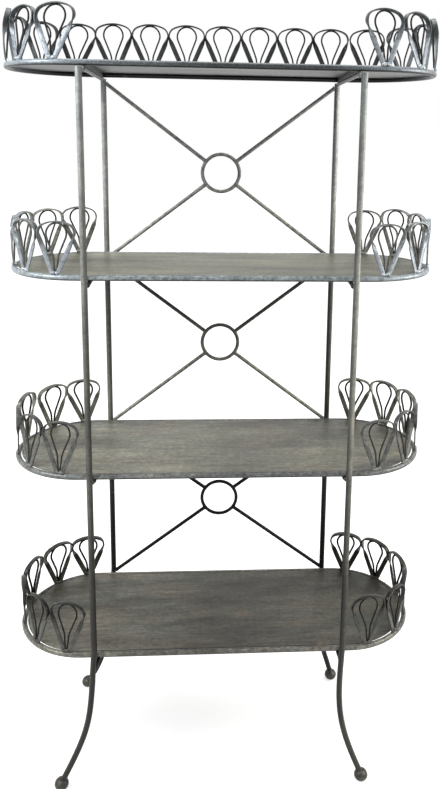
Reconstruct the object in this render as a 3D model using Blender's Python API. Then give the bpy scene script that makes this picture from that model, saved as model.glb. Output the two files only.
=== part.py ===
"""Four shelf storage rack of welded round rod, sheet metal pans and a gallery of strip loops.

Lengths are in metres and +Z is up. The front faces -Y and the origin is on the floor, under the
middle of the rack. Four round uprights stand outside the shelf rims, curve sideways under the lowest
shelf and end in ball feet. Each shelf is a race track rim of round rod with a flat pan set inside it,
carried by two cross rods. Three crossed braces with a ring in the middle stiffen the back. Loops of
flat strip stand on both round ends of every rim and along the back of the top one.
"""

import math

import bmesh
import bpy
from mathutils import Matrix, Vector

# Uprights, measured between the rod centres
UPRIGHT_SPACING_X = 0.585
UPRIGHT_SPACING_Y = 0.360
UPRIGHT_DIAMETER = 0.013
UPRIGHT_TOP_BELOW_RIM = 0.0085

# A weld between two pieces is drawn as a narrow gap, and one inside a piece as a shallow overlap
WELD_GAP = 0.0003
WELD_DEPTH = 0.0004

# Heights of the shelves, to the centre of the rim rod
LOWEST_SHELF_HEIGHT = 0.355
LOWER_BAY_PITCH = 0.447
MIDDLE_BAY_PITCH = 0.455
UPPER_BAY_PITCH = 0.446

# Legs, each bent sideways by hand to its own splay
LEG_BEND_RADIUS = 0.500
LEG_STRAIGHT_HEIGHT = 0.095
FRONT_LEFT_SPLAY = math.radians(25.6)
FRONT_RIGHT_SPLAY = math.radians(19.8)
REAR_LEFT_SPLAY = math.radians(24.3)
REAR_RIGHT_SPLAY = math.radians(14.5)
BALL_DIAMETER = 0.034
BALL_FLAT_DEPTH = 0.001

# Shelf rims and pans. A rim's straight sides run past the uprights by its overhangs, left and right.
# They are bent by hand and differ from shelf to shelf, from the lowest to the top one here.
RIM_DIAMETER = 0.013
RIM_OVERHANGS = ((0.0310, 0.0205), (0.0275, 0.0255), (0.0185, 0.0310), (0.0160, 0.0225))
PAN_THICKNESS = 0.0015
PAN_BELOW_RIM_TOP = 0.001
PAN_SIDE_CLEARANCE = 0.0004
PAN_END_CLEARANCE = 0.0025

# Rods and strips that carry the pans
CROSS_ROD_DIAMETER = 0.0095
CROSS_ROD_BEND_RADIUS = 0.0075
CROSS_ROD_TAIL = 0.001
LOWEST_CROSS_ROD_TAIL = 0.028
BATTEN_THICKNESS = 0.003

# Braces at the back
BRACE_ROD_DIAMETER = 0.0095
RING_DIAMETER = 0.1035
RING_ROD_DIAMETER = 0.009
BRACE_ABOVE_LOWEST_SHELF = 0.0075
BRACE_BELOW_SECOND_SHELF = 0.0125
BRACE_ABOVE_SECOND_SHELF = 0.0005
BRACE_BELOW_THIRD_SHELF = 0.0193
BRACE_ABOVE_THIRD_SHELF = -0.0069
BRACE_BELOW_TOP_SHELF = 0.0200

# Gallery loops: a flat strip stands edge on round the crown and turns flat along its legs
LOOPS_PER_END = 6
REAR_LOOPS = 7
LOOP_HEIGHT = 0.115
LOOP_CROWN_RADIUS = 0.075
LOOP_SHOULDER_RADIUS = 0.020
STRIP_WIDTH = 0.010
STRIP_THICKNESS = 0.003
STRIP_TWIST_LENGTH = 0.017

# Teardrop of wire inside each loop
WIRE_SIZE = 0.0032
TEARDROP_RADIUS = 0.0232
TEARDROP_SIDE_ANGLE = math.radians(22)
TEARDROP_NECK_SPREAD = 0.0045
TEARDROP_END_SPREAD = 0.0019

# Facets
ROD_SIDES = 8
END_FACETS = 10
LEG_FACETS = 5
RING_QUARTER_FACETS = 4
BALL_SIDES = 12
BALL_RINGS = 8
TEARDROP_FACETS = 3

UP = Vector((0, 0, 1))
BACK = Vector((0, 1, 0))
RIGHT = Vector((1, 0, 0))
SIDES = {"left": -1, "right": 1}

upright_radius = UPRIGHT_DIAMETER / 2
rim_radius = RIM_DIAMETER / 2
cross_rod_radius = CROSS_ROD_DIAMETER / 2
brace_rod_radius = BRACE_ROD_DIAMETER / 2
upright_x = UPRIGHT_SPACING_X / 2
upright_y = UPRIGHT_SPACING_Y / 2
rim_end_radius = upright_y - upright_radius - rim_radius - WELD_GAP
rim_ends = [(-upright_x - left, upright_x + right) for left, right in RIM_OVERHANGS]
shelf_heights = [LOWEST_SHELF_HEIGHT]
for pitch in (LOWER_BAY_PITCH, MIDDLE_BAY_PITCH, UPPER_BAY_PITCH):
    shelf_heights.append(shelf_heights[-1] + pitch)


def clear_scene():
    for item in list(bpy.data.objects):
        bpy.data.objects.remove(item, do_unlink=True)


def metal(name, colour, roughness):
    """A painted steel finish."""
    finish = bpy.data.materials.new(name)
    finish.use_nodes = True
    shader = finish.node_tree.nodes["Principled BSDF"]
    shader.inputs["Base Color"].default_value = (*colour, 1)
    shader.inputs["Roughness"].default_value = roughness
    shader.inputs["Metallic"].default_value = 0.6
    return finish


def shade(mesh):
    mesh.shade_smooth()
    mesh.set_sharp_from_angle(angle=math.radians(50))


def add_object(name, bm, finish):
    """Turns a bmesh into a named object whose faces point outwards."""
    bmesh.ops.recalc_face_normals(bm, faces=bm.faces)
    mesh = bpy.data.meshes.new(name)
    bm.to_mesh(mesh)
    bm.free()
    mesh.materials.append(finish)
    shade(mesh)
    made = bpy.data.objects.new(name, mesh)
    bpy.context.scene.collection.objects.link(made)
    return made


def weld(piece, other):
    """Joins two objects, and whatever overlaps inside each of them, into one body."""
    union = piece.modifiers.new("weld", "BOOLEAN")
    union.operation = "UNION"
    union.use_self = True
    union.object = other
    evaluated = piece.evaluated_get(bpy.context.evaluated_depsgraph_get())
    welded = bpy.data.meshes.new_from_object(evaluated)
    piece.modifiers.clear()
    piece.data = welded
    shade(welded)
    bpy.data.objects.remove(other)


def round_section(radius):
    """Corners of a rod's section, as offsets along the path's normal and its binormal."""
    turns = [2 * math.pi * k / ROD_SIDES for k in range(ROD_SIDES)]
    return [(radius * math.cos(a), radius * math.sin(a)) for a in turns]


def flat_section(width, thickness, turn):
    """Corners of a strip's section, turned about the path by an angle."""
    corners = [(width / 2, thickness / 2), (-width / 2, thickness / 2)]
    corners += [(-n, -b) for n, b in corners]
    cos, sin = math.cos(turn), math.sin(turn)
    return [(n * cos - b * sin, n * sin + b * cos) for n, b in corners]


def sweep(bm, points, normal, sections, closed=False, start_cut=None, end_cut=None):
    """Lofts sections along a flat path. The normal is square to the path's plane.

    An inner corner is mitred. A cut gives the normal of the plane that trims that end.
    """
    count = len(points)
    rings = []
    for k, point in enumerate(points):
        before = (point - points[k - 1]).normalized() if closed or k else None
        after = (points[(k + 1) % count] - point).normalized() if closed or k < count - 1 else None
        into, out = before or after, after or before
        tangent = (into + out).normalized()
        across = normal.cross(tangent) / into.dot(tangent)
        section = sections[k] if isinstance(sections[0], list) else sections
        corners = [point + normal * n + across * b for n, b in section]
        cut = start_cut if k == 0 else end_cut if k == count - 1 else None
        if cut:
            corners = [c - tangent * ((c - point).dot(cut) / tangent.dot(cut)) for c in corners]
        rings.append([bm.verts.new(c) for c in corners])
    for k in range(count if closed else count - 1):
        low, high = rings[k], rings[(k + 1) % count]
        for j in range(len(low)):
            i = (j + 1) % len(low)
            bm.faces.new((low[j], low[i], high[i], high[j]))
    if not closed:
        bm.faces.new(rings[0])
        bm.faces.new(rings[-1])


def arc(centre, first, last, radius, start, end, steps):
    """Points of an arc from one angle to another, in the plane of two unit directions."""
    angles = [start + (end - start) * k / steps for k in range(steps + 1)]
    return [centre + first * (radius * math.cos(a)) + last * (radius * math.sin(a)) for a in angles]


def race_track(radius, left_x, right_x, height):
    """Outline of a shelf: two straight sides and two round ends, centred at the x given for each."""
    points = []
    for side, x in ((1, right_x), (-1, left_x)):
        centre = Vector((x, 0, height))
        along = Vector((side, 0, 0))
        points += arc(centre, along, BACK * side, radius, -math.pi / 2, math.pi / 2, END_FACETS)
    return points


def make_upright(name, side, depth, splay, finish):
    """A straight rod from under the top shelf whose leg curves sideways to a ball foot."""
    outward = Vector((side, 0, 0))
    bend_height = LEG_STRAIGHT_HEIGHT + LEG_BEND_RADIUS * math.sin(splay)
    x, y = side * upright_x, depth * upright_y
    top = Vector((x, y, shelf_heights[-1] - UPRIGHT_TOP_BELOW_RIM))
    bend_centre = Vector((x, y, bend_height)) + outward * LEG_BEND_RADIUS
    path = [top] + arc(bend_centre, -outward, -UP, LEG_BEND_RADIUS, 0, splay, LEG_FACETS)

    direction = outward * math.sin(splay) - UP * math.cos(splay)
    ball_radius = BALL_DIAMETER / 2
    seat = math.sqrt(ball_radius**2 - upright_radius**2)
    drop = path[-1].z - (ball_radius - BALL_FLAT_DEPTH)
    ball_centre = path[-1] + direction * (drop / math.cos(splay))
    path.append(ball_centre - direction * (seat + WELD_GAP))
    bm = bmesh.new()
    sweep(bm, path, BACK, round_section(upright_radius))
    add_object("upright_" + name, bm, finish)

    bm = bmesh.new()
    turned = direction.to_track_quat("-Z", "Y").to_matrix().to_4x4()
    bmesh.ops.create_uvsphere(
        bm, u_segments=BALL_SIDES, v_segments=BALL_RINGS, radius=ball_radius,
        matrix=Matrix.Translation(ball_centre) @ turned)
    flats = [(ball_centre - direction * seat, -direction), (Vector((0, 0, 0)), -UP)]
    for point, outside in flats:
        everything = bm.verts[:] + bm.edges[:] + bm.faces[:]
        cut = bmesh.ops.bisect_plane(
            bm, geom=everything, plane_co=point, plane_no=outside, clear_outer=True)
        rim = [e for e in cut["geom_cut"] if isinstance(e, bmesh.types.BMEdge)]
        bmesh.ops.contextual_create(bm, geom=rim)
    add_object("foot_" + name, bm, finish)


def make_rim(name, ends, height, finish):
    bm = bmesh.new()
    path = race_track(rim_end_radius, *ends, height)
    sweep(bm, path, UP, round_section(rim_radius), closed=True)
    add_object(name, bm, finish)


def pan_underside(height):
    return height + rim_radius - PAN_BELOW_RIM_TOP - PAN_THICKNESS


def make_pan(name, ends, height, finish):
    """A flat sheet just under the top of its rim, which stops short of the rod's round inside."""
    below_centre = pan_underside(height) - height
    rim_bulge = math.sqrt(rim_radius**2 - below_centre**2)
    radius = rim_end_radius - rim_bulge - PAN_SIDE_CLEARANCE
    left_x, right_x = ends[0] + PAN_END_CLEARANCE, ends[1] - PAN_END_CLEARANCE
    bm = bmesh.new()
    outline = race_track(radius, left_x, right_x, pan_underside(height))
    sheet = bm.faces.new([bm.verts.new(p) for p in outline])
    raised = bmesh.ops.extrude_face_region(bm, geom=[sheet])["geom"]
    lifted = [v for v in raised if isinstance(v, bmesh.types.BMVert)]
    bmesh.ops.translate(bm, verts=lifted, vec=UP * PAN_THICKNESS)
    add_object(name, bm, finish)


def make_cross_rod(name, side, height, tail, finish):
    """A rod under the rims from the rear upright to the back of the front one, turned down there."""
    height -= rim_radius + WELD_GAP + cross_rod_radius
    beside = (upright_radius + cross_rod_radius + WELD_GAP) * math.sqrt(0.5)
    rear = Vector((side * upright_x, upright_y - upright_radius - WELD_GAP, height))
    front = Vector((side * (upright_x - beside), beside - upright_y, height))
    forward = (front - rear).normalized()
    normal = forward.cross(UP)
    bend_centre = front - forward * CROSS_ROD_BEND_RADIUS - UP * CROSS_ROD_BEND_RADIUS
    path = [rear] + arc(bend_centre, UP, forward, CROSS_ROD_BEND_RADIUS, 0, math.pi / 2, 3)
    path.append(path[-1] - UP * tail)
    bm = bmesh.new()
    sweep(bm, path, normal, round_section(cross_rod_radius), start_cut=BACK)
    add_object(name, bm, finish)


def make_batten(name, side, height, finish):
    """A strip on edge that fills the space between a cross rod and the pan."""
    bottom = height - rim_radius
    top = pan_underside(height) - WELD_GAP
    beside = (upright_radius + cross_rod_radius + WELD_GAP) * math.sqrt(0.5)
    rear = Vector((side * upright_x, upright_y - upright_radius - WELD_GAP, (bottom + top) / 2))
    front = Vector((side * (upright_x - beside), beside - upright_y, rear.z))
    forward = (front - rear).normalized()
    inner_y = rim_end_radius - rim_radius - WELD_GAP
    ends = [rear + forward * ((y - rear.y) / forward.y) for y in (inner_y, -inner_y)]
    section = flat_section(top - bottom, BATTEN_THICKNESS, 0)
    bm = bmesh.new()
    sweep(bm, ends, UP, section, start_cut=BACK, end_cut=BACK)
    add_object(name, bm, finish)


def make_brace(bay, low_end, high_end, finish):
    """Four rods that run from the inner sides of the rear uprights to a ring in the middle."""
    end_x = upright_x - upright_radius - WELD_GAP
    centre = Vector((0, upright_y, (low_end + high_end) / 2))
    slope = math.atan2(high_end - centre.z, end_x)
    ring_line = (RING_DIAMETER - RING_ROD_DIAMETER) / 2
    ring = []
    for start, end in ((-slope, slope), (slope, math.pi - slope)):
        for turn in (0, math.pi):
            facets = RING_QUARTER_FACETS
            corners = arc(centre, RIGHT, UP, ring_line, turn + start, turn + end, facets)
            ring.append((turn + start, corners[:-1]))
    bm = bmesh.new()
    path = [point for _, corners in sorted(ring, key=lambda item: item[0]) for point in corners]
    sweep(bm, path, BACK, round_section(RING_ROD_DIAMETER / 2), closed=True)
    add_object(f"brace_ring_{bay}", bm, finish)
    for side_name, side in SIDES.items():
        for level_name, level in (("lower", low_end), ("upper", high_end)):
            at_upright = Vector((side * end_x, upright_y, level))
            toward = (at_upright - centre).normalized()
            at_ring = centre + toward * (RING_DIAMETER / 2 + WELD_GAP)
            bm = bmesh.new()
            section = round_section(brace_rod_radius)
            sweep(bm, [at_ring, at_upright], BACK, section, end_cut=RIGHT)
            add_object(f"brace_rod_{bay}_{level_name}_{side_name}", bm, finish)


def loop_leg_angle(base, centre_x, centre_h):
    """Angle from upright of the line from a leg's base that touches the shoulder's circle."""
    distance = math.hypot(centre_x - base, centre_h)
    return math.atan2(centre_x - base, centre_h) + math.asin(LOOP_SHOULDER_RADIUS / distance)


def loop_half(half_width):
    """Half of a strip loop from its crown down: places in the loop's plane and turns of the strip."""
    crown = LOOP_HEIGHT - STRIP_THICKNESS / 2
    centre_x = half_width - STRIP_THICKNESS / 2 - LOOP_SHOULDER_RADIUS
    rise = math.sqrt((LOOP_CROWN_RADIUS - LOOP_SHOULDER_RADIUS) ** 2 - centre_x**2)
    centre_h = crown - LOOP_CROWN_RADIUS + rise
    meet = math.atan2(centre_x, rise)
    base = STRIP_WIDTH / 2
    for _ in range(4):
        lean = loop_leg_angle(base, centre_x, centre_h)
        base = STRIP_WIDTH / 2 / math.cos(lean) + WELD_GAP / 2
    places = [(0.0, crown)]
    for angle in (meet, (meet + math.pi / 2) / 2, math.pi / 2, math.pi / 2 + lean):
        places.append((centre_x + LOOP_SHOULDER_RADIUS * math.sin(angle),
                       centre_h + LOOP_SHOULDER_RADIUS * math.cos(angle)))
    turns = [0.0] * len(places)
    x, h = places[-1]
    for share in (0.5, 1.0):
        along = STRIP_TWIST_LENGTH * share
        places.append((x - along * math.sin(lean), h - along * math.cos(lean)))
        turns.append(math.pi / 2 * share)
    places.append((base, 0.0))
    turns.append(math.pi / 2)
    return places, turns, lean


def teardrop_half(lean):
    """Half of the inner wire from its crown down to where it wedges between the strip's legs."""
    crown = LOOP_HEIGHT - STRIP_THICKNESS + WELD_DEPTH - WIRE_SIZE / 2
    centre_h = crown - TEARDROP_RADIUS
    places = []
    for k in range(TEARDROP_FACETS + 1):
        angle = (math.pi / 2 + TEARDROP_SIDE_ANGLE) * k / TEARDROP_FACETS
        places.append((TEARDROP_RADIUS * math.sin(angle), centre_h + TEARDROP_RADIUS * math.cos(angle)))
    side_x, side_h = places[-1]
    neck_h = side_h - (side_x - TEARDROP_NECK_SPREAD) / math.tan(TEARDROP_SIDE_ANGLE)
    places.append((TEARDROP_NECK_SPREAD, neck_h))
    wedge = TEARDROP_END_SPREAD + WIRE_SIZE / 2 + WELD_GAP
    places.append((TEARDROP_END_SPREAD, wedge / math.tan(lean)))
    return places


def both_halves(half):
    return [(-x, h) for x, h in reversed(half)] + half[1:]


def make_gallery(name, stands, half_width, finish):
    """A run of loops on a rim. Each stand is the place of one loop and its outward direction."""
    half, turns, lean = loop_half(half_width)
    sections = [flat_section(STRIP_WIDTH, STRIP_THICKNESS, t) for t in turns[:0:-1] + turns]
    wire_section = flat_section(WIRE_SIZE, WIRE_SIZE, 0)
    strips, wires = bmesh.new(), bmesh.new()
    for base, outward in stands:
        along = UP.cross(outward)
        points = [base + along * x + UP * h for x, h in both_halves(half)]
        sweep(strips, points, outward, sections, start_cut=UP, end_cut=UP)
        points = [base + along * x + UP * h for x, h in both_halves(teardrop_half(lean))]
        sweep(wires, points, outward, wire_section)
    bmesh.ops.triangulate(strips, faces=strips.faces, quad_method="SHORT_EDGE")
    gallery = add_object(name, strips, finish)
    weld(gallery, add_object(name + "_teardrops", wires, finish))


def make_end_gallery(name, side, end_x, height, finish):
    """The loops round one end of a shelf, each welded to the next where they are widest."""
    half_step = math.pi / LOOPS_PER_END / 2
    inner_line = rim_end_radius - STRIP_WIDTH / 2
    half_width = inner_line * math.tan(half_step) + WELD_DEPTH / 2
    centre = Vector((end_x, 0, height + rim_radius + WELD_GAP))
    stands = []
    for k in range(LOOPS_PER_END):
        angle = half_step * (2 * k + 1) - math.pi / 2
        outward = Vector((side * math.cos(angle), math.sin(angle), 0))
        stands.append((centre + outward * rim_end_radius, outward))
    make_gallery(name, stands, half_width, finish)


def make_rear_gallery(name, ends, height, finish):
    """The loops along the straight back of the top shelf, clear of the two round ends."""
    left_x, right_x = ends[0] + WELD_DEPTH + WELD_GAP, ends[1] - WELD_DEPTH - WELD_GAP
    pitch = (right_x - left_x) / REAR_LOOPS
    stands = []
    for k in range(REAR_LOOPS):
        x = left_x + pitch * (k + 0.5)
        stands.append((Vector((x, rim_end_radius, height + rim_radius + WELD_GAP)), BACK))
    make_gallery(name, stands, (pitch + WELD_DEPTH) / 2, finish)


def build():
    clear_scene()
    rod_finish = metal("brushed grey rod", (0.36, 0.37, 0.36), 0.45)
    pan_finish = metal("brushed grey sheet", (0.30, 0.29, 0.26), 0.5)
    strip_finish = metal("brushed grey strip", (0.34, 0.36, 0.37), 0.42)

    make_upright("front_left", -1, -1, FRONT_LEFT_SPLAY, rod_finish)
    make_upright("front_right", 1, -1, FRONT_RIGHT_SPLAY, rod_finish)
    make_upright("rear_left", -1, 1, REAR_LEFT_SPLAY, rod_finish)
    make_upright("rear_right", 1, 1, REAR_RIGHT_SPLAY, rod_finish)

    for number, (height, ends) in enumerate(zip(shelf_heights, rim_ends), start=1):
        make_rim(f"shelf_{number}_rim", ends, height, rod_finish)
        make_pan(f"shelf_{number}_pan", ends, height, pan_finish)
        tail = LOWEST_CROSS_ROD_TAIL if number == 1 else CROSS_ROD_TAIL
        for (side_name, side), end_x in zip(SIDES.items(), ends):
            make_cross_rod(f"shelf_{number}_cross_rod_{side_name}", side, height, tail, rod_finish)
            make_batten(f"shelf_{number}_batten_{side_name}", side, height, rod_finish)
            make_end_gallery(f"shelf_{number}_gallery_{side_name}", side, end_x, height, strip_finish)
    make_rear_gallery("rear_gallery", rim_ends[-1], shelf_heights[-1], strip_finish)

    above = [BRACE_ABOVE_LOWEST_SHELF, BRACE_ABOVE_SECOND_SHELF, BRACE_ABOVE_THIRD_SHELF]
    below = [BRACE_BELOW_SECOND_SHELF, BRACE_BELOW_THIRD_SHELF, BRACE_BELOW_TOP_SHELF]
    for bay in range(3):
        low_end = shelf_heights[bay] + above[bay]
        high_end = shelf_heights[bay + 1] - below[bay]
        make_brace(bay + 1, low_end, high_end, rod_finish)


build()
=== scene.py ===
"""Finish, welds and stage for a welded steel storage rack, laid out as an add-on.

Every rod, strip and pan of the rack is drawn again here with round sections, soft edges and a steel
finish with painted light and shade, at the place of the solid that it stands for. Lengths are in
metres, +Z is up and the front faces -Y.
"""

import math
import random
from types import SimpleNamespace

import bmesh
import bpy
from bpy.props import FloatProperty, FloatVectorProperty, IntProperty, PointerProperty
from mathutils import Matrix, Vector, noise


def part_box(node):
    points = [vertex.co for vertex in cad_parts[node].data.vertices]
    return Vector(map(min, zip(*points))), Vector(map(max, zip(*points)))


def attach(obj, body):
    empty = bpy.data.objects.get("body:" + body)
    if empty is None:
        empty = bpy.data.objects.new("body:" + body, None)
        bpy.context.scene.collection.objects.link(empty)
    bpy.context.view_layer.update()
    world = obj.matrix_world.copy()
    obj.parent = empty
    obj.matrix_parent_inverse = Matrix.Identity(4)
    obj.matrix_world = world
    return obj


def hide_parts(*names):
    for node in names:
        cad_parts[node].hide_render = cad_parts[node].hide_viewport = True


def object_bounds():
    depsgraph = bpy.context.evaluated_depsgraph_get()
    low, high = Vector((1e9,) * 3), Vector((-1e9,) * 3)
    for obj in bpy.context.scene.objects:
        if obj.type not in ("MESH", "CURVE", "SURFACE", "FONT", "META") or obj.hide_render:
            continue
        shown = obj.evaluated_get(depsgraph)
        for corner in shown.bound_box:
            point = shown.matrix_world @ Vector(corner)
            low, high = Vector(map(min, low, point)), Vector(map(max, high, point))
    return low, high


bl_info = {
    "name": "Welded Storage Rack",
    "version": (1, 0, 0),
    "blender": (4, 5, 0),
    "location": "3D View > Sidebar > Rack",
    "description": "Finishes a four shelf steel rack with looped galleries and sets its stage",
    "category": "Object",
}

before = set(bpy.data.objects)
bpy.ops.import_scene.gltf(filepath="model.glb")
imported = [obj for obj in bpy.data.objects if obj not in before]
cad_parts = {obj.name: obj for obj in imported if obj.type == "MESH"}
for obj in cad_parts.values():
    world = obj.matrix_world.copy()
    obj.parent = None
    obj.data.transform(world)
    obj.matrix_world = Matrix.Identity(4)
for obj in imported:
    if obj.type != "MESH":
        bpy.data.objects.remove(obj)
cad_low, cad_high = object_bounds()

UP = Vector((0, 0, 1))
BACK = Vector((0, 1, 0))
RIGHT = Vector((1, 0, 0))
SIDES = {"left": -1, "right": 1}
CORNERS = ("front_left", "front_right", "rear_left", "rear_right")
SHELVES = (1, 2, 3, 4)
BAYS = (1, 2, 3)
TOP_SHELF = SHELVES[-1]
SHARP_ANGLE = math.radians(40)
MITRE_LIMIT = 0.5

# How many flats each round section is drawn with
ROD_SIDES = 28
THIN_ROD_SIDES = 20
WIRE_SIDES = 10


# Places of the rack's own lines, read from the frame

def middle_of(low, high):
    return (low + high) / 2


def end_centres(low, high):
    """Middles of the two round ends of a shelf, which reach unequally far past the uprights."""
    return {"left": low.x + high.y, "right": high.x - high.y}


def rim_lines(shelf, sizes):
    """Height of a rim's centre line, the radius of its round ends and where each end is centred."""
    low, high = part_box(f"shelf_{shelf}_rim")
    return (low.z + high.z) / 2, high.y - sizes.rod_diameter / 2, end_centres(low, high)


def upright_top(name, sizes):
    """Top of an upright's centre line. The leg bends outward, so the box's inner side gives its place."""
    low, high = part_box("upright_" + name)
    radius = sizes.rod_diameter / 2
    x = high.x - radius if name.endswith("left") else low.x + radius
    return Vector((x, (low.y + high.y) / 2, high.z))


# Sections and sweeps

def round_section(radius, sides):
    """Points of a round section: offset along the normal, offset across, distance round it."""
    turns = [2 * math.pi * k / sides for k in range(sides)]
    return [(radius * math.cos(turn), radius * math.sin(turn), radius * turn) for turn in turns]


def strip_section(width, thickness, corner):
    """A flat strip's section with rounded corners, width along the normal."""
    points = []
    travelled = 0.0
    for quarter, (along, across) in enumerate(((1, 1), (-1, 1), (-1, -1), (1, -1))):
        for step in range(3):
            turn = (quarter + step / 2) * math.pi / 2
            n = along * (width / 2 - corner) + corner * math.cos(turn)
            b = across * (thickness / 2 - corner) + corner * math.sin(turn)
            if points:
                travelled += math.hypot(n - points[-1][0], b - points[-1][1])
            points.append((n, b, travelled))
    return points


def arc(centre, first, second, radius, start, end, steps):
    """Points on an arc in the plane of two unit directions."""
    angles = [start + (end - start) * k / steps for k in range(steps + 1)]
    return [centre + (first * math.cos(a) + second * math.sin(a)) * radius for a in angles]


def straight(start, end, steps):
    """Points on a straight line from its start up to its end."""
    return [start.lerp(end, k / steps) for k in range(steps + 1)]


def sweep_rings(path, normal, section, turns, closed):
    """Sections set square to a path at its points, and how far along the path each one is."""
    count = len(path)
    rings, distances, travelled = [], [], 0.0
    for k, point in enumerate(path):
        before = point - path[k - 1] if closed or k else None
        after = path[(k + 1) % count] - point if closed or k < count - 1 else None
        if k:
            travelled += before.length
        into = (before or after).normalized()
        out = (after or before).normalized()
        tangent = (into + out).normalized()
        across = normal.cross(tangent)
        stretch = 1 / max(into.dot(tangent), MITRE_LIMIT)
        cos, sin = math.cos(turns[k]), math.sin(turns[k])
        ring = []
        for n, b, _ in section:
            ring.append(point + normal * (n * cos - b * sin) + across * (n * sin + b * cos) * stretch)
        rings.append(ring)
        distances.append(travelled)
    if closed:
        rings.append(rings[0])
        distances.append(travelled + (path[0] - path[-1]).length)
    return rings, distances


def chamfer_ends(path, rings, distances, depth):
    """Draws the two end sections in by a depth, and puts a smaller one before each."""
    narrowing = 0.18
    for end, inner in ((0, 1), (-1, -2)):
        axis = (path[end] - path[inner]).normalized()
        smaller = [p.lerp(path[end], narrowing) for p in rings[end]]
        rings[end] = [p - axis * depth for p in rings[end]]
        place, distance = (0, -depth) if end == 0 else (len(rings), distances[-1] + depth)
        rings.insert(place, smaller)
        distances.insert(place, distance)


def sweep(bm, path, normal, section, turns=None, closed=False, offset=(0.0, 0.0), soften=0.0):
    """Lofts a section along a flat path and lays a grain map on it: metres along, metres round.

    The normal is square to the path's plane. The offset moves the grain, so that no two pieces are alike.
    Open ends are capped, and softened by a small chamfer.
    """
    grain = bm.loops.layers.uv.verify()
    rings, distances = sweep_rings(path, normal, section, turns or [0.0] * len(path), closed)
    if soften:
        chamfer_ends(path, rings, distances, soften)
    made = [[bm.verts.new(p) for p in ring] for ring in rings[:-1]]
    made.append(made[0] if closed else [bm.verts.new(p) for p in rings[-1]])
    sides = len(section)
    around = [point[2] for point in section]
    around.append(around[-1] + math.dist(section[-1][:2], section[0][:2]))
    for k in range(len(made) - 1):
        low, high = made[k], made[k + 1]
        for j in range(sides):
            i = (j + 1) % sides
            face = bm.faces.new((low[j], low[i], high[i], high[j]))
            face.smooth = True
            places = ((distances[k], around[j]), (distances[k], around[j + 1]),
                      (distances[k + 1], around[j + 1]), (distances[k + 1], around[j]))
            for corner, (u, v) in zip(face.loops, places):
                corner[grain].uv = (u + offset[0], v + offset[1])
    if not closed:
        for ring in (made[0], made[-1]):
            face = bm.faces.new(ring)
            for corner, (n, b, _) in zip(face.loops, section):
                corner[grain].uv = (n + offset[0], b + offset[1])


def smooth(bm):
    for face in bm.faces:
        face.smooth = True


def add_piece(name, bm, material, node=None):
    """Makes one object of the rack that rides on its only body and may stand for a solid."""
    bmesh.ops.recalc_face_normals(bm, faces=bm.faces)
    mesh = bpy.data.meshes.new(name)
    bm.to_mesh(mesh)
    bm.free()
    mesh.set_sharp_from_angle(angle=SHARP_ANGLE)
    mesh.materials.append(material)
    piece = bpy.data.objects.new(name, mesh)
    bpy.context.scene.collection.objects.link(piece)
    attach(piece, "root")
    if node:
        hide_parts(node)


def add_rod(name, node, material, path, normal, radius, sides, **more):
    """Makes one round rod of the rack, swept along its path, in place of its solid."""
    bm = bmesh.new()
    sweep(bm, path, normal, round_section(radius, sides), **more)
    add_piece(name, bm, material, node)


# Shaders

def grey(level):
    return (level, level, level)


class ShaderNodes:
    """Adds nodes to a shader. A value given to one is a number, some levels or another node's socket."""

    def __init__(self, tree):
        self.tree = tree

    def add(self, kind, inputs=None, **settings):
        """A new node with its settings, values and links."""
        made = self.tree.nodes.new(kind)
        for key, value in settings.items():
            setattr(made, key, value)
        for key, value in (inputs or {}).items():
            if isinstance(value, bpy.types.NodeSocket):
                self.tree.links.new(value, made.inputs[key])
            else:
                made.inputs[key].default_value = value
        return made

    def calculate(self, operation, *values):
        """One sum, such as MULTIPLY or ABSOLUTE."""
        return self.add("ShaderNodeMath", dict(enumerate(values)), operation=operation).outputs[0]

    def times(self, first, *others):
        for other in others:
            first = self.calculate("MULTIPLY", first, other)
        return first

    def spread(self, value, limits, goals=(0.0, 1.0), **settings):
        """Carries a value from between its limits to between the goals."""
        return self.add("ShaderNodeMapRange", {
            "Value": value, "From Min": limits[0], "From Max": limits[1],
            "To Min": goals[0], "To Max": goals[1]}, **settings).outputs["Result"]

    def fade(self, value, limits):
        """0 before the first limit, 1 past the second one and smooth between."""
        return self.spread(value, limits, interpolation_type="SMOOTHSTEP")

    def pattern(self, place, scale, detail, roughness):
        """A random pattern between 0 and 1."""
        return self.add("ShaderNodeTexNoise", {
            "Vector": place, "Scale": scale, "Detail": detail, "Roughness": roughness}).outputs["Fac"]

    def ramp(self, value, *stops):
        """A colour that runs through (value, colour) stops."""
        made = self.add("ShaderNodeValToRGB", {"Fac": value})
        elements = made.color_ramp.elements
        while len(elements) < len(stops):
            elements.new(0.5)
        for element, (position, colour) in zip(elements, stops):
            element.position = position
            element.color = (*colour, 1)
        return made.outputs["Color"]

    def mix(self, blend, share, first, second):
        """Blends a colour into the first one, as far as the share says."""
        if not isinstance(second, bpy.types.NodeSocket):
            second = (*second, 1)
        return self.add("ShaderNodeMix", {0: share, 6: first, 7: second},
                        data_type="RGBA", blend_type=blend).outputs[2]

    def tint(self, colour, other, share=1.0):
        """Multiplies a colour by another, as far as the share says."""
        return self.mix("MULTIPLY", share, colour, other)


# Steel finishes

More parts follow.
